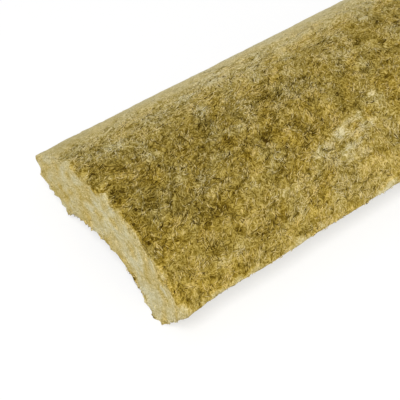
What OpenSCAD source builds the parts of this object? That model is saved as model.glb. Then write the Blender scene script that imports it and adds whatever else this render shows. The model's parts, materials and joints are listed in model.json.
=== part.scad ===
// Quarter segment of a mineral wool pipe section. Four of them close round
// a pipe. It lies with its bore down, on its two long inner edges.
// X runs along the pipe, Y across it and Z up. The origin is on the floor,
// under the middle of the segment.

/* [Pipe] */
// Outside diameter of the pipe that the section closes round
pipe_d = 168; // [60:1:330]

/* [Wool] */
// Thickness of the wool over the pipe
wall = 50; // [25:1:120]
// Length of the segment along the pipe
segment_length = 1000; // [250:10:1200]
// Part of the circle that one segment covers, in degrees
segment_angle = 90; // [60:5:120]

/* [Edges] */
// Radius to which the four long edges are worn
long_edge_r = 2; // [0.5:0.5:5]
// Radius to which the edges round the two sawn ends are worn
end_edge_r = 1.5; // [0.5:0.5:5]

/* [Hidden] */
$fn = 180;

bore_r = pipe_d / 2;
outer_r = bore_r + wall;
half_angle = segment_angle / 2;

// Centres of the long edges' roundings: their distance from the pipe's
// axis, and their angle from the segment's crown
outer_centre_r = outer_r - long_edge_r;
inner_centre_r = bore_r + long_edge_r;
outer_centre_angle = half_angle - asin(long_edge_r / outer_centre_r);
inner_centre_angle = half_angle - asin(long_edge_r / inner_centre_r);

// The segment stands on its rounded inner edges, and the pipe's axis is
// this far below them
axis_depth = inner_centre_r * cos(inner_centre_angle) - long_edge_r;

// A unit vector in the section's plane, turned by an angle from straight up
function toward(angle) = [sin(angle), cos(angle)];

// The wall from the bore outwards, drawn as radius against length, with the
// edges of both ends rounded
module wall_profile() {
    difference() {
        translate([bore_r, -segment_length / 2])
            square([wall, segment_length]);
        for (end = [0, 1], face = [0, 1])
            mirror([0, end])
                translate([face == 0 ? bore_r : outer_r, segment_length / 2])
                    mirror([face, 0])
                        end_edge_waste();
    }
}

// What the rounding takes off the corner of the profile at the bore, with
// that corner at the origin
module end_edge_waste() {
    translate([end_edge_r, -end_edge_r])
        difference() {
            translate([-2 * end_edge_r, 0])
                square(2 * end_edge_r);
            circle(end_edge_r);
        }
}

// The strip that the rounding takes off one long edge, from the rounding's
// centre out to the wall's face and to the joint face
module long_edge_waste(centre, to_wall_face, to_joint_face) {
    reach = 2 * long_edge_r;
    linear_extrude(segment_length + reach, center = true)
        translate(centre)
            difference() {
                polygon([
                    [0, 0],
                    reach * to_wall_face,
                    reach * (to_wall_face + to_joint_face),
                    reach * to_joint_face
                ]);
                circle(long_edge_r);
            }
}

module wool_segment() {
    color("darkkhaki")
        translate([0, 0, -axis_depth])
            rotate([90, 0, 90])
                difference() {
                    rotate([0, 0, 90 - half_angle])
                        rotate_extrude(angle = segment_angle)
                            wall_profile();
                    for (side = [-1, 1]) {
                        long_edge_waste(
                            outer_centre_r * toward(side * outer_centre_angle),
                            toward(side * outer_centre_angle),
                            toward(side * (half_angle + 90))
                        );
                        long_edge_waste(
                            inner_centre_r * toward(side * inner_centre_angle),
                            -toward(side * inner_centre_angle),
                            toward(side * (half_angle + 90))
                        );
                    }
                }
}

wool_segment();
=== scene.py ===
import itertools
import json
import math

import bmesh
import bpy
import numpy as np
from mathutils import Matrix, Vector


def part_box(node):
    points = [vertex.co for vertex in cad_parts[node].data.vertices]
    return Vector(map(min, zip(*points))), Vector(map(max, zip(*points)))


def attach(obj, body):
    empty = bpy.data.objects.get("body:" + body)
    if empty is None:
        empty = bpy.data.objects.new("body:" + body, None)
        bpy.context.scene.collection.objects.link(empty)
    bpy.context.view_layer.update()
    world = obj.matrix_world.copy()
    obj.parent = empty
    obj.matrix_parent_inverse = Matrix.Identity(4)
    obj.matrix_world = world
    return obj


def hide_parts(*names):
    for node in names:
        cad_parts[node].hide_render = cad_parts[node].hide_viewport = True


# The wool is laid out on a flat block, then bent round the pipe. A point of the block is
# (x, s, r): x along the pipe, s round it at the outer face, and r out from the pipe's axis.
# Lengths are in metres.

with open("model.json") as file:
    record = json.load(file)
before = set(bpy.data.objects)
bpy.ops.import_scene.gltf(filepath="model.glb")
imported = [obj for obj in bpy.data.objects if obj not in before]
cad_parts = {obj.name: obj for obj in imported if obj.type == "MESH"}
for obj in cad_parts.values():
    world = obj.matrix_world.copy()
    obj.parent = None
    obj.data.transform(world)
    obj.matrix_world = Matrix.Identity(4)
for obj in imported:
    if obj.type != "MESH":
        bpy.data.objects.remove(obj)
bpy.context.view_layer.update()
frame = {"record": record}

# --- The segment's sizes, from the frame ---------------------------------------------------

mounts = {mount["name"]: mount for mount in frame["record"]["mounts"]}
joint_face = mounts["joint_face_left"]
low_corner, high_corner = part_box("wool_segment")
half_angle = math.atan2(-joint_face["axis"][2], joint_face["axis"][1])
middle_r = joint_face["pos_m"][1] / math.sin(half_angle)
axis_depth = middle_r * math.cos(half_angle) - joint_face["pos_m"][2]
outer_r = high_corner.z + axis_depth
bore_r = mounts["pipe_seat"]["pos_m"][2] + axis_depth
half_length = high_corner.x
half_arc = half_angle * outer_r

X, S, R = 0, 1, 2
BLOCK_LOW = np.array([-half_length, -half_arc, bore_r])
BLOCK_HIGH = np.array([half_length, half_arc, outer_r])
LOW_END_PLACE = np.array([-half_length, 0, 0])

# The faces of the block, each as the axis it faces along and the way it faces
OUTER, BORE = (R, 1), (R, -1)
LEFT_JOINT, RIGHT_JOINT = (S, 1), (S, -1)
HIGH_END, LOW_END = (X, 1), (X, -1)

# --- How the wool is laid ------------------------------------------------------------------

# A pattern is soft lumps of one or more sizes, added up. Each row of it gives the lumps' size,
# their seed, how much they count, and a factor on their first axis. A factor under 1 draws them
# out along that axis.

# The wool's layers lie round the pipe. Within them the strands climb across it at a slant.
SLANT, LAYER_PACKING, LAYER_STRETCH = math.radians(40), 3.0, 0.65
LAYER_WAVES = ((0.0300, 85, 0.0120, 1), (0.0150, 86, 0.0048, 1))
LAYER_SWAY = ((0.0100, 53, 0.0040, 1),)

# The tufts, how rounded they are, and how deep the creases between them
TUFTS = ((0.0075, 1, 0.35, 1), (0.0036, 2, 0.35, 1), (0.0055, 6, 0.30, 0.6))
TUFT_ROUNDING = 0.6
TUFT_DEPTH, SAWN_DEPTH = 0.0045, 0.0016
# The share of the tufts' height that lies under the segment's true surface, and slow swells of it
TUFT_SUNK = 0.60
SWELLS = ((0.0300, 3, 0.3, 1),)

# The wear of the edges, which is ragged
LONG_EDGE_WEAR, SAWN_EDGE_WEAR = 0.0022, 0.0016
EDGE_LUMPS = ((0.0060, 4, 0.7, 1),)

# The teeth torn into the inner and joint edges of both ends: how deep they are, how far from
# the edge they reach, how wide each is, how much of one stands out, and how they waver
TEETH_DEPTH, TEETH_REACH, TOOTH, TEETH_PROUD = 0.0014, 0.0070, 0.0078, 0.8
TEETH_WAVER = ((0.0110, 7, 4, 1),)

# The lumps in the outer edge of both ends: how deep they are, how far they reach, and how far
# the edge sags as a whole
RIM_DEPTH, RIM_REACH, RIM_SAG = 0.0020, 0.0100, 0.3
RIM_LUMPS = ((0.0085, 9, 1, 1),)

# Where the low end is out of square: side, r, reach along x and r, and the shift of s outwards
CORNER_SHIFTS = (
    (1, 0.116, 0.025, 0.007, 0.0070),
    (1, 0.086, 0.040, 0.016, -0.0200),
    (-1, 0.094, 0.026, 0.026, 0.0085),
)
# How far from the joint faces those shifts reach
CORNER_BREADTH = 0.060

# Where the low end bulges: s, r, the reach along each, and how far
BULGES = ((-0.105, 0.088, 0.018, 0.014, 0.0018),)
# Where the low end hangs lower into the bore, or, below 0, stops short of it: s, the reach along
# s and r, and how far
LIPS = (
    (-0.060, 0.055, 0.015, 0.0022),
    (0.078, 0.022, 0.015, -0.0020),
    (0.028, 0.012, 0.012, 0.0014),
    (-0.005, 0.014, 0.012, 0.0010),
    (-0.086, 0.014, 0.015, 0.0012),
)
# How far from the end bulges and lips reach
END_REACH = 0.030
# Below this height the wool flattens on the floor
FLOOR_EASE = 0.0012

# --- How the wool is coloured --------------------------------------------------------------

# Tone runs from dark to pale and hue from grey to golden, both from 0 to 1. Contrast says how
# strongly tufts and strands stand out.

# How the wool changes round the outer face, from the right long edge at -1 to the left one at 1,
# and how far, in radians, tufts there may turn out of the grain
ROUND = (-1.0, -0.7, -0.4, 0.0, 0.2, 0.4, 0.6, 0.8, 1.0)
# Towards the left long edge the wool is paler and greyer, partly its own colour and partly painted
# sheen and backlight seen at a grazing angle
ROUND_TONE_AND_SHEEN = (0.75, 0.735, 0.68, 0.64, 0.66, 0.80, 0.90, 0.96, 1.00)
ROUND_HUE = (0.70, 0.69, 0.64, 0.59, 0.54, 0.50, 0.42, 0.32, 0.17)
ROUND_CONTRAST = (0.86, 0.93, 0.98, 1.00, 1.00, 0.95, 0.78, 0.40, 0.14)
ROUND_SPREAD = (0.70, 0.65, 0.55, 0.45, 0.40, 0.40, 0.35, 0.30, 0.25)
# The slow swell of its tone along the segment
SWELL_LENGTH, SWELL_TONE = 0.5, 0.045

# Clouds in the outer face, and small spots where its lumps rise between two levels
TONE_CLOUDS = ((0.0200, 21, 0.05, 1), (0.0060, 25, 0.06, 1), (0.0060, 29, 0.07, 0.35))
HUE_CLOUDS = ((0.0100, 22, 0.27, 1),)
PALE_SPOTS, PALE_LEVELS, PALE_STRENGTH = ((0.0090, 23, 1, 1),), (0.50, 0.75), 0.25
# Painted shade: small dark spots that stand for the shade in pits of the wool
PIT_SHADE_SPOTS, PIT_SHADE_LEVELS, PIT_SHADE_TONE = ((0.0025, 28, 1, 1),), (0.45, 0.70), -0.32
# How far tufts, from their middle height, and patches change the outer face. The tufts' tone is
# painted light and shade: darker in the creases between them, paler on their tops
TUFT_SHADING_TONE, TUFT_MIDDLE = 0.38, 0.5
BLEACHED_TONE, BLEACHED_HUE, SHADED_TONE = 0.34, -0.38, -0.14

# The sawn faces, and how far streaks, blotches, bleached and shaded patches change them
SAWN_TONE, SAWN_HUE, SAWN_CONTRAST = 0.91, 0.32, 0.55
STREAKS = ((0.0060, 24, 1, 1), (0.0030, 30, 0.5, 1))
BLOTCHES = ((0.0080, 26, 1, 1), (0.0045, 33, 0.7, 1))
SAWN_TONE_CHANGES = (0.05, 0.08, 0.12, -0.08)
SAWN_HUE_CHANGES = (-0.10, -0.28, -0.40, 0.25)

# The wavering border between the sawn faces and the skin: how far it lies in from the outer
# edge and out into the bore, how blurred it is, and the golden, paler fringe on it
BORDER_DEPTH, BORE_BORDER, BORDER_BLUR = 0.0006, 0.0030, 0.0014
BORDER_WAVER = ((0.0120, 31, 0.0080, 1), (0.0045, 32, 0.0056, 1))
FRINGE_BREADTH, FRINGE_HUE, FRINGE_TONE = 0.0050, 0.16, 0.12

# Patches of the outer face near the low end: x from the end, s, the reach along each, and the
# strength
OUTER_BLEACHED = (
    (0.192, -0.046, 0.015, 0.0045, 0.9),
    (0.178, -0.052, 0.014, 0.0075, 1.1),
    (0.182, -0.063, 0.018, 0.0050, 0.9),
    (0.202, -0.055, 0.014, 0.0050, 1.1),
    (0.219, -0.040, 0.014, 0.0060, 0.5),
    (0.187, -0.073, 0.012, 0.0040, 0.6),
    (0.116, -0.036, 0.010, 0.0050, 0.3),
    (0.108, -0.067, 0.012, 0.0050, 0.5),
    (0.053, -0.021, 0.009, 0.0060, 0.5),
    (0.183, 0.022, 0.012, 0.0060, 0.4),
    (0.143, 0.053, 0.014, 0.0060, 0.5),
    (0.045, -0.086, 0.010, 0.0050, 0.4),
    (0.110, -0.007, 0.012, 0.0070, 0.7),
    (0.088, -0.021, 0.012, 0.0070, 0.6),
    (0.158, -0.055, 0.013, 0.0060, 0.7),
    (0.150, 0.068, 0.018, 0.0070, 0.6),
    (0.035, 0.038, 0.016, 0.0070, 0.5),
    (0.110, 0.023, 0.010, 0.0070, 0.5),
    (0.112, 0.053, 0.014, 0.0080, 0.5),
    (0.050, 0.008, 0.010, 0.0070, 0.5),
    (0.030, -0.053, 0.020, 0.0060, 0.4),
    (0.174, -0.070, 0.016, 0.0060, 0.5),
    (0.008, 0.012, 0.009, 0.0140, 0.5),
    (0.190, -0.022, 0.026, 0.0080, 0.5),
    (0.110, -0.024, 0.014, 0.0070, 0.4),
)
OUTER_SHADED = (
    (0.056, -0.055, 0.015, 0.0080, 0.8),
    (0.044, -0.036, 0.012, 0.0060, 0.8),
    (0.014, -0.006, 0.010, 0.0090, 0.8),
    (0.138, 0.019, 0.014, 0.0060, 0.7),
    (0.122, -0.025, 0.030, 0.0080, 1.6),
    (0.072, -0.022, 0.012, 0.0080, 0.6),
    (0.150, -0.038, 0.026, 0.0080, 0.9),
    (0.205, -0.036, 0.016, 0.0070, 0.7),
    (0.110, -0.053, 0.014, 0.0080, 0.8),
    (0.110, -0.096, 0.016, 0.0080, 0.9),
    (0.090, -0.083, 0.032, 0.0070, 0.7),
    (0.010, 0.016, 0.010, 0.0160, 1.0),
    (0.028, -0.023, 0.016, 0.0100, 1.4),
    (0.110, -0.038, 0.014, 0.0090, 1.0),
    (0.072, -0.038, 0.014, 0.0090, 1.0),
    (0.092, -0.038, 0.012, 0.0080, 0.6),
    (0.150, 0.007, 0.014, 0.0090, 1.4),
    (0.151, -0.031, 0.014, 0.0130, 1.5),
    (0.132, -0.085, 0.018, 0.0060, 0.4),
    (0.190, -0.022, 0.028, 0.0090, 1.4),
    (0.050, -0.076, 0.014, 0.0120, 1.1),
    (0.050, -0.098, 0.014, 0.0070, 0.8),
    (0.060, 0.053, 0.020, 0.0080, 0.7),
    (0.008, -0.032, 0.010, 0.0140, 1.0),
    (0.005, -0.049, 0.006, 0.0050, 0.9),
)
# Patches of the low end: s, r, the reach along each, and the strength
END_BLEACHED = (
    (0.021, 0.106, 0.0150, 0.006, 1.0),
    (0.010, 0.116, 0.0070, 0.004, 0.7),
    (-0.013, 0.128, 0.0050, 0.004, 0.8),
    (-0.052, 0.101, 0.0120, 0.007, 0.9),
    (-0.071, 0.090, 0.0060, 0.005, 1.0),
    (-0.082, 0.121, 0.0080, 0.005, 0.8),
)
END_SHADED = (
    (0.060, 0.096, 0.0120, 0.005, 0.7),
    (0.076, 0.108, 0.0050, 0.004, 0.8),
    (0.002, 0.088, 0.0120, 0.004, 0.8),
    (-0.025, 0.089, 0.0080, 0.004, 0.7),
)
# How deep the patches go, how softly they end, and how frayed they are
OUTER_PATCH_DEPTH, END_PATCH_DEPTH, PATCH_SOFTNESS = 0.010, 0.006, 0.6
PATCH_FRAY = ((0.0045, 27, 0.4, 1),)

# --- Noise and steps on the block ----------------------------------------------------------

NOISE_CELLS = 64
# Far enough along that no place on the block falls below 0
NOISE_START = 1000.5


def soft_noise(places, size, seed):
    """Smooth noise from -1 to 1 at the places, in lumps about as wide as size."""
    table = np.random.default_rng(seed).uniform(-1, 1, (NOISE_CELLS, NOISE_CELLS, NOISE_CELLS))
    grid = places / size + NOISE_START
    corner = np.floor(grid).astype(int)
    along = grid - corner
    along = along * along * (3 - 2 * along)
    total = np.zeros(len(places))
    for step in itertools.product((0, 1), repeat=3):
        share = np.where(step, along, 1 - along).prod(1)
        i, j, k = ((corner + step) % NOISE_CELLS).T
        total += share * table[i, j, k]
    return total


def creased(places, size, seed):
    """Rounded lumps from 0 to 1 with creases between them."""
    return np.abs(soft_noise(places, size, seed)) ** TUFT_ROUNDING


def lumpy(places, pattern, lumps=soft_noise):
    """A pattern's lumps at the places, added up."""
    total = np.zeros(len(places))
    for size, seed, weight, factor in pattern:
        total += weight * lumps(places * (factor, 1, 1), size, seed)
    return total


def rise(values, low, high):
    """0 below low and 1 above high, with a smooth rise between."""
    share = np.clip((values - low) / (high - low), 0, 1)
    return share * share * (3 - 2 * share)


def beside(distance, reach):
    """1 at a distance of 0, with a smooth fall to 0 at the reach."""
    return 1 - rise(distance, 0, reach)


def near(block, place, reach):
    """1 at a place, given from the low end, fading over the reach along x, s and r."""
    away = (block - LOW_END_PLACE - place) / reach
    return np.exp(-(away**2).sum(1))


def stretched(block, step):
    """A step on the block with its part along s changed from s's length to the true one."""
    true = np.array(step, float)
    true[:, S] *= block[:, R] / outer_r
    return true


def moved(block, step):
    """The block's points moved by steps of true length."""
    along = np.array(step, float)
    along[:, S] *= outer_r / block[:, R]
    return block + along


# --- The wool's layers, relief and colour --------------------------------------------------


def layering(places):
    """Across the wool's wavy layers."""
    across = places[:, S] * math.cos(SLANT) - places[:, X] * math.sin(SLANT)
    return across + LAYER_PACKING * places[:, R] + lumpy(places, LAYER_WAVES)


def layered(block):
    """Places along, across and through the layers, for what is drawn out along them."""
    places = stretched(block, block)
    along = places[:, X] * math.cos(SLANT) + places[:, S] * math.sin(SLANT)
    along = along + lumpy(places, LAYER_SWAY)
    return np.stack([along * LAYER_STRETCH, layering(places), places[:, R]], 1)


def inside_border(block):
    """How far points lie inside the wavering border round the sawn ends and joint faces."""
    to_cut = np.minimum(half_length - np.abs(block[:, X]), half_arc - np.abs(block[:, S]))
    to_skin = np.minimum(outer_r - block[:, R], block[:, R] - bore_r + BORE_BORDER)
    return to_skin - to_cut - BORDER_DEPTH - lumpy(stretched(block, block), BORDER_WAVER)


def sawn(block):
    """1 on the sawn ends and joint faces, 0 on the outer face and in the bore."""
    return rise(inside_border(block), -BORDER_BLUR, BORDER_BLUR)


def relief(block):
    """How far the wool stands out of the block's face at each point."""
    calm = np.interp(block[:, S] / half_arc, ROUND, ROUND_CONTRAST)
    depth = TUFT_DEPTH * calm + sawn(block) * (SAWN_DEPTH - TUFT_DEPTH * calm)
    height = lumpy(layered(block), TUFTS, creased)
    return depth * (height - TUFT_SUNK + lumpy(stretched(block, block), SWELLS))


def patches(outer, low_end):
    """Patches of the outer face and of the low end, each as its place, reach and strength."""
    for x, s, reach_x, reach_s, strength in outer:
        yield (x, s, outer_r), (reach_x, reach_s, OUTER_PATCH_DEPTH), strength
    for s, r, reach_s, reach_r, strength in low_end:
        yield (0, s, r), (END_PATCH_DEPTH, reach_s, reach_r), strength


def patched(block, outer, low_end):
    """How strong the patches are at each point, with frayed borders."""
    fray = lumpy(stretched(block, block), PATCH_FRAY)
    most = np.zeros(len(block))
    for place, reach, strength in patches(outer, low_end):
        away = np.linalg.norm((block - LOW_END_PLACE - place) / reach, axis=1)
        most = np.maximum(most, strength * rise(1 - away + fray, 0, PATCH_SOFTNESS))
    return most


def coat(block):
    """The wool's tone, hue and contrast at each point."""
    winding = layered(block)
    around = block[:, S] / half_arc
    bleached = patched(block, OUTER_BLEACHED, END_BLEACHED)
    shaded = patched(block, OUTER_SHADED, END_SHADED)
    # Round the outer face, paler and greyer towards the left long edge, partly as painted sheen
    tone, hue, contrast = (
        np.interp(around, ROUND, values) for values in (ROUND_TONE_AND_SHEEN, ROUND_HUE, ROUND_CONTRAST)
    )

    # The outer face and the bore
    spots = PALE_STRENGTH * rise(lumpy(winding, PALE_SPOTS), *PALE_LEVELS)
    faded = np.maximum(spots, bleached)
    change = lumpy(winding, TONE_CLOUDS) + BLEACHED_TONE * faded + SHADED_TONE * shaded
    # Painted shade in the creases between tufts, and painted light on their tops
    change += TUFT_SHADING_TONE * (lumpy(winding, TUFTS, creased) - TUFT_MIDDLE)
    # Painted shade in small pits
    change += PIT_SHADE_TONE * rise(lumpy(winding, PIT_SHADE_SPOTS), *PIT_SHADE_LEVELS)
    tone = tone - SWELL_TONE * np.cos((block[:, X] + half_length) * math.tau / SWELL_LENGTH)
    tone = tone + contrast * change
    hue = hue + contrast * (lumpy(winding, HUE_CLOUDS) + BLEACHED_HUE * faded)

    # The sawn ends and joint faces
    pale = sawn(block)
    looks = (lumpy(winding, STREAKS), lumpy(stretched(block, block), BLOTCHES), bleached, shaded)
    tone = tone + pale * (SAWN_TONE + np.dot(SAWN_TONE_CHANGES, looks) - tone)
    hue = hue + pale * (SAWN_HUE + np.dot(SAWN_HUE_CHANGES, looks) - hue)

    # The fringe between them
    fringe = beside(np.abs(inside_border(block)), FRINGE_BREADTH)
    hue = hue + contrast * FRINGE_HUE * fringe
    tone = tone + (1 - pale) * contrast * FRINGE_TONE * fringe
    contrast = contrast + pale * (SAWN_CONTRAST - contrast)
    return tone, hue, contrast


# --- From the block to the segment ---------------------------------------------------------


def worn(block):
    """Rounds the block's edges. Returns the points and their outward directions."""
    to_end = half_length - np.abs(block[:, X])
    wear = np.where(to_end < SAWN_EDGE_WEAR, SAWN_EDGE_WEAR, LONG_EDGE_WEAR)
    wear = wear * (1 + lumpy(stretched(block, block), EDGE_LUMPS))
    inner = np.clip(block, BLOCK_LOW + wear[:, None], BLOCK_HIGH - wear[:, None])
    out = block - inner
    out /= np.maximum(np.linalg.norm(out, axis=1), 1e-9)[:, None]
    return inner + out * wear[:, None], out


def torn(block):
    """The steps that tear teeth into the inner and joint edges of both ends."""
    places = stretched(block, block)
    waver = lumpy(places, TEETH_WAVER)
    from_end = half_length - np.abs(block[:, X])
    step = np.zeros(block.shape)
    for along, from_edge, across, outwards in (
        (S, block[:, R] - bore_r, R, -1),
        (R, half_arc - np.abs(block[:, S]), S, np.sign(block[:, S])),
    ):
        share = beside(from_edge, TEETH_REACH) * beside(from_end, 2 * TEETH_REACH)
        teeth = TEETH_PROUD - np.abs(np.sin(math.pi / TOOTH * places[:, along] + waver))
        step[:, across] += outwards * TEETH_DEPTH * share * teeth
        step[:, X] += np.sign(block[:, X]) * TEETH_DEPTH * share * teeth
    return step


def sagged(block):
    """How far the lumpy outer edge of both ends sinks, away from the joint faces."""
    from_end = half_length - np.abs(block[:, X])
    share = beside(outer_r - block[:, R], RIM_REACH) * beside(from_end, RIM_REACH)
    share *= rise(half_arc - np.abs(block[:, S]), 0, 2 * RIM_REACH)
    return RIM_DEPTH * share * (lumpy(stretched(block, block), RIM_LUMPS) + RIM_SAG)


def settled(block):
    """The block with the edges of both ends torn and lumpy, and the low end out of true."""
    step = torn(block)
    step[:, R] -= sagged(block)
    for side, r, reach_x, reach_r, outwards in CORNER_SHIFTS:
        share = near(block, (0, 0, r), (reach_x, math.inf, reach_r))
        share *= rise(side * block[:, S], half_arc - CORNER_BREADTH, half_arc)
        step[:, S] += side * outwards * share
    for s, r, reach_s, reach_r, amount in BULGES:
        step[:, X] -= amount * near(block, (0, s, r), (END_REACH, reach_s, reach_r))
    for s, reach_s, reach_r, depth in LIPS:
        step[:, R] -= depth * near(block, (0, s, bore_r), (END_REACH, reach_s, reach_r))
    return block + step


def bent(block):
    """Bends the block's points round the pipe, and keeps them above the floor."""
    x, s, r = settled(block).T
    angle = s / outer_r
    z = r * np.cos(angle) - axis_depth
    eased = FLOOR_EASE * np.exp(np.minimum(z / FLOOR_EASE, 1) - 1)
    return np.stack([x, r * np.sin(angle), np.where(z < FLOOR_EASE, eased, z)], 1)


# --- Making up materials -------------------------------------------------------------------

# A Mix node has sockets of the same names for each kind of value. These are a colour's.
MIX_SHARE, MIX_FIRST, MIX_SECOND, MIX_COLOUR = 0, 6, 7, 2
WOOL_ROUGHNESS, WOOL_GLOSS = 0.9, 0.05


class Wire:
    """An output socket. Sums on it add Math nodes."""

    def __init__(self, finish, socket):
        self.finish = finish
        self.socket = socket

    def sum_with(self, operation, *others):
        return self.finish.node("Math", {"operation": operation}, dict(enumerate((self, *others))))

    def __add__(self, other):
        return self.sum_with("ADD", other)

    __radd__ = __add__

    def __sub__(self, other):
        return self.sum_with("SUBTRACT", other)

    def __rsub__(self, other):
        return (self * -1) + other

    def __mul__(self, other):
        return self.sum_with("MULTIPLY", other)

    __rmul__ = __mul__

    def __pow__(self, other):
        return self.sum_with("POWER", other)

    def larger(self, other):
        return self.sum_with("MAXIMUM", other)

    def step(self, low, high):
        """0 below low and 1 above high, with a smooth rise between."""
        return self.finish.node(
            "MapRange",
            {"interpolation_type": "SMOOTHSTEP"},
            {"Value": self, "From Min": low, "From Max": high},
        )


class Finish:
    """A material, or the sky, being made up."""

    def __init__(self, owner):
        self.owner = owner
        owner.use_nodes = True
        self.tree = owner.node_tree
        self.tree.nodes.clear()

    def node(self, kind, settings=None, sockets=None, output=0):
        """Adds a node with its settings, then the values or wires of its sockets.

        Returns one output, or all of them where output is None.
        """
        made = self.tree.nodes.new("ShaderNode" + kind)
        for name, value in (settings or {}).items():
            setattr(made, name, value)
        for name, value in (sockets or {}).items():
            if isinstance(value, Wire):
                self.tree.links.new(value.socket, made.inputs[name])
            else:
                made.inputs[name].default_value = value
        if output is None:
            return [Wire(self, part) for part in made.outputs]
        return Wire(self, made.outputs[output]) if made.outputs else None

    def mix(self, share, first, second):
        """A colour between two others."""
        colours = {MIX_SHARE: share, MIX_FIRST: first, MIX_SECOND: second}
        return self.node("Mix", {"data_type": "RGBA"}, colours, MIX_COLOUR)

    def ramp(self, share, colours):
        """A colour read off evenly spaced ones."""
        made = self.node("ValToRGB", {}, {"Fac": share})
        stops = made.socket.node.color_ramp.elements
        for _ in colours[2:]:
            stops.new(0.5)
        for n, (stop, colour) in enumerate(zip(stops, colours)):
            stop.position = n / (len(colours) - 1)
            stop.color = (*colour, 1)
        return made

    def vector(self, operation, *values):
        return self.node("VectorMath", {"operation": operation}, dict(enumerate(values)))

    def parts(self, vector):
        """The three parts of a vector."""
        return self.node("SeparateXYZ", {}, {"Vector": vector}, None)

    def end(self, shader, output="OutputMaterial"):
        self.node(output, {}, {"Surface": shader})
        return self.owner

    def wool(self, tone, hue, **more):
        """Ends the material in matt wool of a tone and a hue."""
        colour = self.mix(hue, self.ramp(tone, GREY_WOOL), self.ramp(tone, GOLD_WOOL))
        sockets = {"Base Color": colour, "Roughness": WOOL_ROUGHNESS, "Specular IOR Level": WOOL_GLOSS}
        return self.end(self.node("BsdfPrincipled", {}, sockets | more))


def paint(red, green, blue):
    """A screen colour, each part up to 255, as light."""
    parts = (part / 255 for part in (red, green, blue))
    return tuple(part / 12.92 if part < 0.04045 else ((part + 0.055) / 1.055) ** 2.4 for part in parts)


# Wool from dark to pale, where it is grey and where it is golden. Its dark end is partly painted shade
# in the depths, its pale end the bleached tips
GREY_WOOL = (paint(58, 46, 8), paint(111, 97, 38), paint(163, 150, 93), paint(209, 202, 166))
GOLD_WOOL = (paint(66, 46, 4), paint(122, 98, 18), paint(175, 148, 56), paint(221, 192, 108))


def strand_finish():
    """Each strand has its own place on the map: tone across it, hue up it."""
    f = Finish(bpy.data.materials.new("wool_strands"))
    tone, hue, _ = f.parts(f.node("UVMap", {"uv_map": "OFBake"}))
    return f.wool(tone, hue)


# Felted strands lie in layers, each turned from the last, shifted and tilted. They sway in lumps
# of 1 / FELT_SWAY_SCALE.
FELT_LAYERS = 4
FELT_STRAND = (0.0046, 0.0012, 0.0012)
FELT_TURN, FELT_TILT = 0.3, 0.15
FELT_SHIFT = Vector((0.37, 0.61, 0.23))
FELT_SWAY, FELT_SWAY_SCALE = 0.006, 160
# The levels between which strands rise out of the depths, how far that changes the tone, darker in the
# depths partly as painted shade and partly as deeper colour, and at what height the tone stays
FELT_LEVELS, FELT_TONE_AND_SHADE, FELT_EVEN = (0.42, 0.75), 0.6, 0.8
FELT_BUMP, FELT_BUMP_DEPTH = 0.7, 0.0008


def felt_finish():
    """Felted strands crossing at all angles over dark depths, whose darkness is partly painted shade.
    """
    f = Finish(bpy.data.materials.new("wool_felt"))
    x, y, z = f.parts(f.node("TexCoord", output="Object"))
    up = z + axis_depth
    arc = y.sum_with("ARCTAN2", up) * outer_r
    flat = f.node("CombineXYZ", {}, {"X": x, "Y": arc, "Z": (y * y + up * up) ** 0.5})
    lumps = {"Vector": flat, "Scale": FELT_SWAY_SCALE, "Detail": 1.0}
    sway = f.vector("SUBTRACT", f.node("TexNoise", {}, lumps, "Color"), (0.5, 0.5, 0.5))
    flat = f.vector("ADD", flat, f.vector("MULTIPLY", sway, (FELT_SWAY, FELT_SWAY, FELT_SWAY)))
    height = None
    for layer in range(FELT_LAYERS):
        along = f.node(
            "Mapping",
            {"vector_type": "TEXTURE"},
            {
                "Vector": flat,
                "Location": layer * FELT_SHIFT,
                "Rotation": (
                    0,
                    FELT_TILT * (layer - (FELT_LAYERS - 1) / 2),
                    math.pi / FELT_LAYERS * layer + FELT_TURN,
                ),
                "Scale": FELT_STRAND,
            },
        )
        strand = f.node("TexNoise", {}, {"Vector": along, "Scale": 1.0, "Detail": 1.0})
        height = strand if height is None else height.larger(strand)
    height = height.step(*FELT_LEVELS)
    tone, hue, contrast = (
        f.node("Attribute", {"attribute_name": name}, output="Fac")
        for name in ("tone", "hue", "contrast")
    )
    # Darker in the depths, partly as painted shade and partly as deeper colour
    tone = tone + (height - FELT_EVEN) * contrast * FELT_TONE_AND_SHADE
    bump = {"Strength": FELT_BUMP, "Distance": FELT_BUMP_DEPTH, "Height": height}
    return f.wool(tone, hue, Normal=f.node("Bump", {}, bump))


# --- The body of the wool ------------------------------------------------------------------

# The cuts in its grid, and how much they crowd towards the sawn ends and the long edges
LENGTH_CUTS, ARC_CUTS, WALL_CUTS = 299, 103, 17
END_CROWDING, EDGE_CROWDING = 0.3, 0.15


def crowded(steps, amount):
    """Moves even steps from -1 to 1 towards both ends."""
    return steps * (1 + amount) - amount * steps**3


def cut_block():
    """A cube of side 2, cut into a fine grid along, round and through the wall."""
    bm = bmesh.new()
    bmesh.ops.create_cube(bm, size=2)
    for axis, cuts in ((X, LENGTH_CUTS), (S, ARC_CUTS), (R, WALL_CUTS)):
        along = [e for e in bm.edges if abs(e.verts[0].co[axis] - e.verts[1].co[axis]) > 1e-6]
        bmesh.ops.subdivide_edges(bm, edges=along, cuts=cuts, use_grid_fill=True)
    return bm


def as_mesh(bm, name):
    """The mesh of a bmesh, which is let go."""
    mesh = bpy.data.meshes.new(name)
    bm.to_mesh(mesh)
    bm.free()
    return mesh


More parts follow.
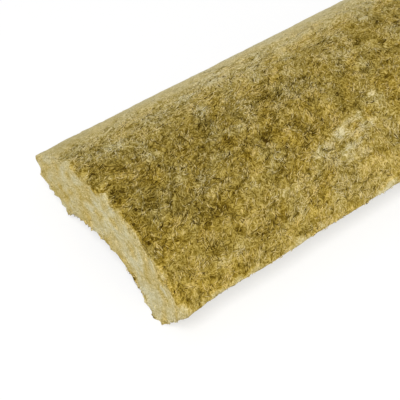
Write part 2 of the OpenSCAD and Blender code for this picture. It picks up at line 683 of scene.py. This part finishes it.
def wool_body():
    """The whole segment, with the relief and colour of its wool."""
    mesh = as_mesh(cut_block(), "wool_body")
    unit = np.empty(len(mesh.vertices) * 3)
    mesh.vertices.foreach_get("co", unit)
    unit = unit.reshape(-1, 3)
    unit[:, X] = crowded(unit[:, X], END_CROWDING)
    unit[:, S] = crowded(unit[:, S], EDGE_CROWDING)
    block, out = worn(BLOCK_LOW + (unit + 1) / 2 * (BLOCK_HIGH - BLOCK_LOW))
    place = bent(moved(block, out * relief(block)[:, None]))
    mesh.vertices.foreach_set("co", place.ravel())
    mesh.polygons.foreach_set("use_smooth", np.ones(len(mesh.polygons), bool))
    for name, values in zip(("tone", "hue", "contrast"), coat(block)):
        mesh.attributes.new(name, "FLOAT", "POINT").data.foreach_set("value", values)
    mesh.materials.append(felt_finish())
    mesh.update()
    return bpy.data.objects.new("wool_body", mesh)


# --- The shapes and kinds of strand --------------------------------------------------------


def as_arrays(bm):
    """The points and triangles of a bmesh, which is let go."""
    bmesh.ops.triangulate(bm, faces=bm.faces)
    bmesh.ops.recalc_face_normals(bm, faces=bm.faces)
    bm.verts.index_update()
    points = np.array([v.co for v in bm.verts])
    faces = np.array([[v.index for v in face.verts] for face in bm.faces])
    bm.free()
    return points, faces


def hook():
    """A closed three-sided strand from -1 to 1 along X, which can bend at its middle."""
    bm = bmesh.new()
    for side in (-1, 1):
        bm.verts.new((side, 0, 0))
    for turn in range(3):
        bm.verts.new((0, math.sin(math.tau / 3 * turn), math.cos(math.tau / 3 * turn)))
    bmesh.ops.convex_hull(bm, input=bm.verts)
    return as_arrays(bm)


def spindle():
    """A closed three-sided spindle from -1 to 1 along X, with two rings of points."""
    bm = bmesh.new()
    bmesh.ops.create_uvsphere(bm, u_segments=3, v_segments=3, radius=1)
    bmesh.ops.rotate(bm, cent=(0, 0, 0), matrix=Matrix.Rotation(math.pi / 2, 3, "Y"), verts=bm.verts)
    return as_arrays(bm)


# Kinds of strand: shape, how many to a tuft, sizes, thickness to width, bend, the lowest and
# highest that they lie on the wool, how far their tones differ, and how much of their length is
# left at an edge
STRAND = {
    "shape": hook, "per_tuft": 6, "length": (0.0042, 0.0088), "width": (0.0007, 0.0012),
    "flatness": 0.6, "bend": 0.33, "lift": (-0.0014, 0.0006), "stir": 1.8, "trim": 0.4,
}
CURL = {
    "shape": spindle, "per_tuft": 3, "length": (0.0080, 0.0150), "width": (0.0006, 0.0009),
    "flatness": 0.7, "bend": 0.50, "lift": (-0.0004, 0.0005), "stir": 0.9, "trim": 0.4,
}
SAWN = {
    "shape": hook, "per_tuft": 6, "length": (0.0035, 0.0070), "width": (0.0007, 0.0012),
    "flatness": 0.6, "bend": 0.30, "lift": (-0.0006, 0.0004), "stir": 1.0, "trim": 1.0,
}
JOINT = SAWN | {"trim": 0.3}

# How far a tuft's strands lie from its middle, and turn from its direction
TUFT_LENGTH, TUFT_WIDTH, TUFT_TURN = 0.0030, 0.0016, 0.24
# How strands lie on the wool: a tuft's share and a strand's own share in how high, and how much
# of that is left where the wool is calm
LIFT_MIDDLE, TUFT_LIFT, OWN_LIFT, CALM_LIFT = 0.5, 0.25, 0.20, 0.3
# How far their tips dip, from how near an edge they are trimmed, and how far they may stand past
# the edges along x, s and r
TIP_DIP, TRIM_REACH = 0.0005, 0.004
EDGE_PROUD = np.array([0.0020, 0.0005, 0.0007])
# The step over which the layers' slope is taken
GRAIN_STEP = 0.0005

# How strands differ in tone: with their tuft, by themselves, with a dark tail that partly stands for
# the shade of deep holes, and with their height, where low ones are darker partly as painted shade and
# partly as deeper colour
TONE_START, TUFT_STIR, OWN_STIR, LIFT_TONE_AND_SHADE, LIFT_LEVEL = 0.12, 0.12, 0.15, 0.50, 0.6
# Pale ones are held back: past this change, only a part of it counts
PALE_START, PALE_PART = 0.05, 0.25
# How they differ in hue: with their tuft, by themselves, and across them
TUFT_HUE, OWN_HUE, SIDE_HUE = 0.08, 0.02, 0.02
# Painted shade: each is paler in its middle than at its tips, which dip into the wool, and paler on
# one side, as a rounded strand lit from there
MIDDLE_SHADE, TIP_SHADE, SIDE_SHADE = 0.06, 0.14, 0.09
MAP_BORDER = 0.01


# --- Laying the strands --------------------------------------------------------------------


def axes_in(face):
    """The two axes that a face lies in."""
    return [axis for axis in (X, S, R) if axis != face[0]]


def turned(angle, ahead, aside):
    """Steps ahead and aside at an angle, as steps along the two axes of a face."""
    c, s = np.cos(angle), np.sin(angle)
    return c * ahead - s * aside, s * ahead + c * aside


def grain(block, face):
    """The angle of the layers on a face."""
    places = stretched(block, block)
    here = layering(places)
    slopes = [layering(places + GRAIN_STEP * np.eye(3)[axis]) - here for axis in axes_in(face)]
    return np.arctan2(-slopes[0], slopes[1])


def rooted(rng, face, low, high, tufts, per_tuft):
    """Where strands are rooted on a face, their angles, and what they share with their tuft."""
    axis, side = face
    first, second = axes_in(face)
    centre = rng.uniform(low, high, (tufts, 3))
    spread = np.interp(centre[:, S] / half_arc, ROUND, ROUND_SPREAD)
    flow = np.repeat(rng.normal(0, spread, tufts) + grain(centre, face), per_tuft)
    shared = np.repeat(rng.normal(0, 1, (3, tufts)), per_tuft, 1)
    count = tufts * per_tuft
    angle = flow + rng.normal(0, TUFT_TURN, count)
    ahead, aside = rng.normal(0, TUFT_LENGTH, count), rng.normal(0, TUFT_WIDTH, count)
    step = np.zeros((count, 3))
    step[:, first], step[:, second] = turned(flow, ahead, aside)
    root = np.clip(moved(np.repeat(centre, per_tuft, 0), step), BLOCK_LOW, BLOCK_HIGH)
    root[:, axis] = (BLOCK_HIGH if side > 0 else BLOCK_LOW)[axis]
    return root, angle, shared


def laid(rng, face, kind, points, root, out, angle, lift):
    """The block's points of each strand: tapered, curled in the face and humped out of it."""
    count = len(root)
    first, second = axes_in(face)
    along, sides, up = points.T[:, None]
    to_edge = np.minimum(root - BLOCK_LOW, BLOCK_HIGH - root)[:, (first, second)].min(1)
    long = rng.uniform(*kind["length"], count)[:, None] / 2
    long *= kind["trim"] + (1 - kind["trim"]) * rise(to_edge, 0, TRIM_REACH)[:, None]
    wide = rng.uniform(*kind["width"], count)[:, None] / 2
    curl = rng.normal(0, kind["bend"], count)[:, None] * long
    swing = rng.normal(0, kind["bend"], count)[:, None] * long
    lowest, highest = kind["lift"]
    height = (lowest + (highest - lowest) * lift)[:, None]
    ahead = along * long
    aside = sides * wide + curl * (1 - along**2) + swing * (along - along**3)
    above = up * wide * kind["flatness"] + height - TIP_DIP * along**2
    step = np.zeros((count, len(points), 3))
    step[:, :, first], step[:, :, second] = turned(angle[:, None], ahead, aside)
    step += out[:, None, :] * above[:, :, None]
    block = moved(np.repeat(root, len(points), 0), step.reshape(-1, 3))
    kept = np.clip(block, BLOCK_LOW - EDGE_PROUD, BLOCK_HIGH + EDGE_PROUD)
    kept[:, face[0]] = block[:, face[0]]
    return kept


def joined(name, place, triangles, uv):
    """One piece made of loose triangles, with each point's place on the map."""
    mesh = bpy.data.meshes.new(name)
    mesh.vertices.add(len(place))
    mesh.vertices.foreach_set("co", place.ravel())
    mesh.loops.add(triangles.size)
    mesh.loops.foreach_set("vertex_index", triangles.ravel())
    mesh.polygons.add(len(triangles))
    mesh.polygons.foreach_set("loop_start", np.arange(len(triangles)) * 3)
    mesh.polygons.foreach_set("use_smooth", np.ones(len(triangles), bool))
    mesh.update(calc_edges=True)
    layer = mesh.uv_layers.new(name="OFBake")
    layer.uv.foreach_set("vector", uv[triangles.ravel()].astype(np.float32).ravel())
    return bpy.data.objects.new(name, mesh)


def strands(name, face, low, high, tufts, kind, seed):
    """One piece of strands lying in tufts on a face of the block, from corner low to high."""
    rng = np.random.default_rng(seed)
    axis, side = face
    root, angle, shared = rooted(rng, face, low, high, tufts, kind["per_tuft"])
    tuft_tone, tuft_hue, tuft_lift = shared
    count = len(root)
    root, out = worn(root)
    tone, hue, contrast = coat(root)
    lift = LIFT_MIDDLE + TUFT_LIFT * tuft_lift + rng.normal(0, OWN_LIFT, count)
    lift = np.clip(lift, 0, 1)
    root = moved(root, out * relief(root)[:, None])
    points, faces = kind["shape"]()
    shown_lift = lift * (CALM_LIFT + (1 - CALM_LIFT) * contrast)
    place = bent(laid(rng, face, kind, points, root, out, angle, shown_lift))

    # The strand's place on the map
    # The dark tail and the darker low strands are partly painted shade
    change = TUFT_STIR * tuft_tone + TONE_START - rng.exponential(OWN_STIR, count)
    change += LIFT_TONE_AND_SHADE * (lift - LIFT_LEVEL)
    tone = tone + contrast * kind["stir"] * np.minimum(change, PALE_START + PALE_PART * change)
    hue = hue + contrast * (TUFT_HUE * tuft_hue + rng.normal(0, OWN_HUE, count))
    along, sides, _ = points.T[:, None]
    # Painted shade along each strand and across it
    shade = MIDDLE_SHADE - TIP_SHADE * np.abs(along) + SIDE_SHADE * sides
    tone = tone[:, None] + contrast[:, None] * shade
    hue = hue[:, None] + SIDE_HUE * sides
    uv = np.clip(np.stack([tone, hue], 2), MAP_BORDER, 1 - MAP_BORDER).reshape(-1, 2)

    triangles = (faces[None] + np.arange(count)[:, None, None] * len(points)).reshape(-1, 3)
    if (side < 0) != (axis == S):
        triangles = triangles[:, ::-1]
    return joined(name, place, triangles, uv)


def lengths(parts):
    """The block cut across its length into shorter ones, as pairs of corners."""
    ends = crowded(np.linspace(-1, 1, parts + 1), END_CROWDING) * half_length
    for start, end in zip(ends[:-1], ends[1:]):
        yield (start, *BLOCK_LOW[1:]), (end, *BLOCK_HIGH[1:])


# --- Making the pieces ---------------------------------------------------------------------


def add(thing):
    """Puts an object in the scene."""
    bpy.context.collection.objects.link(thing)
    return thing


body = add(wool_body())
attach(body, "root")
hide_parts("wool_segment")

# The outer face's strands, as pieces along the length: name, pieces, tufts in each, kind and seed
pieces = []
for name, parts, tufts, kind, seed in (
    ("outer_strands", 4, 4400, STRAND, 100),
    ("outer_curls", 2, 600, CURL, 120),
):
    for number, (low, high) in enumerate(lengths(parts), 1):
        pieces.append(strands(f"{name}_{number}", OUTER, low, high, tufts, kind, seed + number))
# The other faces' strands: name, face, tufts, kind and seed
for name, face, tufts, kind, seed in (
    ("low_end_strands", LOW_END, 1000, SAWN, 15),
    ("high_end_strands", HIGH_END, 1000, SAWN, 16),
    ("left_joint_strands", LEFT_JOINT, 700, JOINT, 18),
    ("right_joint_strands", RIGHT_JOINT, 700, JOINT, 19),
    ("bore_strands", BORE, 1000, JOINT, 12),
):
    pieces.append(strands(name, face, BLOCK_LOW, BLOCK_HIGH, tufts, kind, seed))
strand_material = strand_finish()
for piece in pieces:
    piece.data.materials.append(strand_material)
    add(piece)
    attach(piece, "root")

# --- Floor, light and camera ---------------------------------------------------------------

LAMP_PLACE = Vector((-1.9, -1.3, 3.4))
LAMP_AIM = Vector((-0.2, 0.0, 0.0))
LAMP_SIZE, LAMP_WATTS = 1.5, 128
SKY_LIGHT = 0.48
CAMERA_TURN, CAMERA_TILT = math.radians(37.7), math.radians(47.4)
CAMERA_DISTANCE, CAMERA_LENS = 0.744, 91.57
CAMERA_AIM = Vector((low_corner.x + 0.0743, -0.0149, 0.0301))
FLOOR_HALF = 12.0
SHADOW_SHOWN, SHADOW_NEAR, SHADOW_FAR = 0.35, 0.6, 3.0
WHITE, FLOOR_WHITE = (1, 1, 1, 1), (0.9, 0.9, 0.9, 1)


def seen(f):
    """1 for what the camera, a mirror or a glass shows, and 0 for what only gives light."""
    camera, _, _, glossy, _, _, transmission, *_ = f.node("LightPath", output=None)
    return camera.larger(glossy).larger(transmission)


def floor():
    """A white floor, which shows the camera a faint shadow near the wool."""
    bm = bmesh.new()
    bmesh.ops.create_grid(bm, x_segments=1, y_segments=1, size=FLOOR_HALF)
    mesh = as_mesh(bm, "floor")
    f = Finish(bpy.data.materials.new("white_floor"))
    lit = f.node("BsdfDiffuse", {}, {"Color": FLOOR_WHITE})
    white = f.node("Emission", {}, {"Color": WHITE})
    place = f.node("TexCoord", output="Object")
    away = f.node("VectorMath", {"operation": "LENGTH"}, {0: place}, "Value")
    shown = SHADOW_SHOWN * (1 - away.step(SHADOW_NEAR, SHADOW_FAR))
    mesh.materials.append(f.end(f.node("MixShader", {}, {0: seen(f) * (1 - shown), 1: lit, 2: white})))
    return bpy.data.objects.new("floor", mesh)


add(floor())


def looking(thing, place, ahead):
    """Puts a lamp or camera at a place, looking ahead."""
    thing.location = place
    thing.rotation_mode = "QUATERNION"
    thing.rotation_quaternion = ahead.to_track_quat("-Z", "Y")
    return add(thing)


lamp = bpy.data.lights.new("lamp", "AREA")
lamp.shape = "DISK"
lamp.size = LAMP_SIZE
lamp.energy = LAMP_WATTS
looking(bpy.data.objects.new("lamp", lamp), LAMP_PLACE, LAMP_AIM - LAMP_PLACE)

sky = Finish(bpy.data.worlds.new("sky"))
strength = seen(sky) * (1 - SKY_LIGHT) + SKY_LIGHT
light = sky.node("Background", {}, {"Color": WHITE, "Strength": strength})
bpy.context.scene.world = sky.end(light, "OutputWorld")

ahead = Vector(
    (
        math.cos(CAMERA_TILT) * math.sin(CAMERA_TURN),
        math.cos(CAMERA_TILT) * math.cos(CAMERA_TURN),
        -math.sin(CAMERA_TILT),
    )
)
lens = bpy.data.cameras.new("camera")
lens.lens = CAMERA_LENS
bpy.context.scene.camera = looking(
    bpy.data.objects.new("camera", lens), CAMERA_AIM - ahead * CAMERA_DISTANCE, ahead
)
bpy.context.scene.view_settings.view_transform = "Standard"
